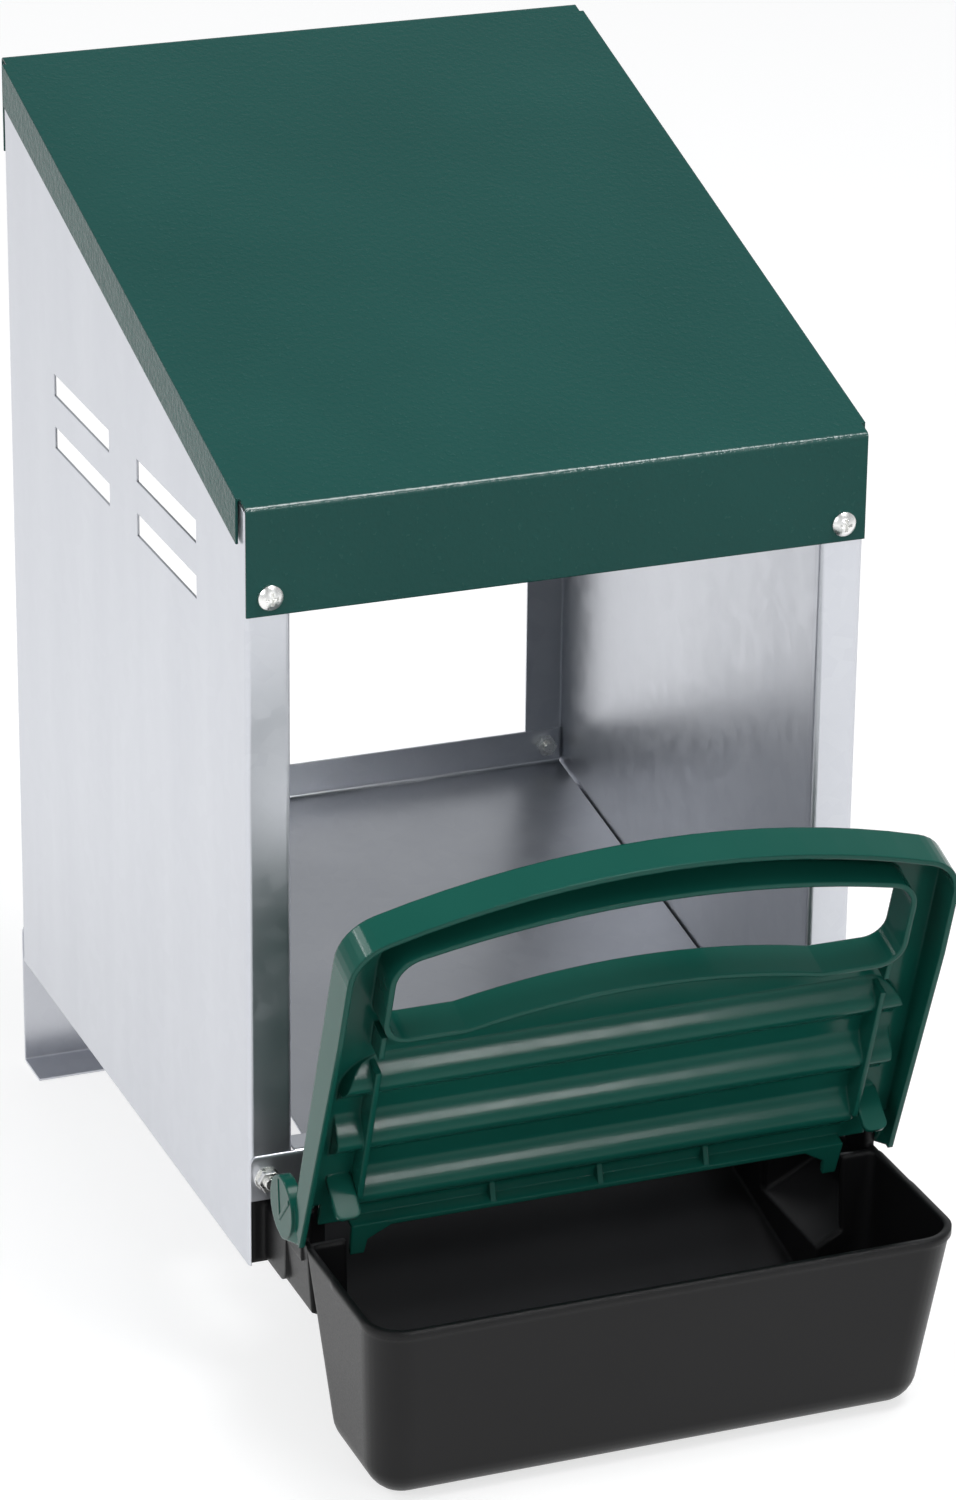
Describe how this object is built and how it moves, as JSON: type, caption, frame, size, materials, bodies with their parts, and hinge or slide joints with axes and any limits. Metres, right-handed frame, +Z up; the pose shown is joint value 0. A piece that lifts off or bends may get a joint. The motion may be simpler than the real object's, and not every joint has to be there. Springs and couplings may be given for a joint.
{
  "type": "roll-out nest box",
  "caption": "Galvanised sheet nest box with a sloping green roof, side vent slots, a black egg tray in front and a hinged green lid with a hand hole.",
  "frame": {"origin": "on the ground under the middle of the whole box, width and depth", "axes": "+Z up, the tray and entry face -Y, +X to the right of someone looking at the front"},
  "size_m": [0.2584, 0.4379, 0.4603],
  "materials": {
    "green_paint": "fine textured satin powder coat",
    "galvanised_sheet": "smooth galvanised",
    "black_plastic": "satin",
    "green_plastic": "glossy moulded",
    "zinc_fastener": "bright zinc plated"
  },
  "bodies": {
    "base": {"roof": "green_paint", "left_side_panel": "galvanised_sheet", "right_side_panel": "galvanised_sheet", "front_sill": "galvanised_sheet", "nest_floor": "galvanised_sheet", "rear_foot": "galvanised_sheet", "egg_tray": "black_plastic", "left_hinge_pin": "zinc_fastener", "right_hinge_pin": "zinc_fastener", "roof_front_screws": "zinc_fastener", "roof_front_nuts": "zinc_fastener", "roof_rear_screws": "zinc_fastener", "roof_rear_nuts": "zinc_fastener", "sill_bolts": "zinc_fastener", "sill_washers": "zinc_fastener", "sill_nuts": "zinc_fastener", "floor_rear_screws": "zinc_fastener", "floor_rear_nuts": "zinc_fastener", "floor_foot_screws": "zinc_fastener", "floor_foot_nuts": "zinc_fastener", "foot_screws": "zinc_fastener", "foot_nuts": "zinc_fastener"},
    "lid": {"tray_lid": "green_plastic"}
  },
  "joints": [
    {"name": "lid_hinge", "type": "hinge", "parent": "base", "child": "lid", "pos_m": [0, -0.12755, 0.094], "axis": [-1, 0, 0], "range_deg": [-71.7, 32.5]}
  ]
}
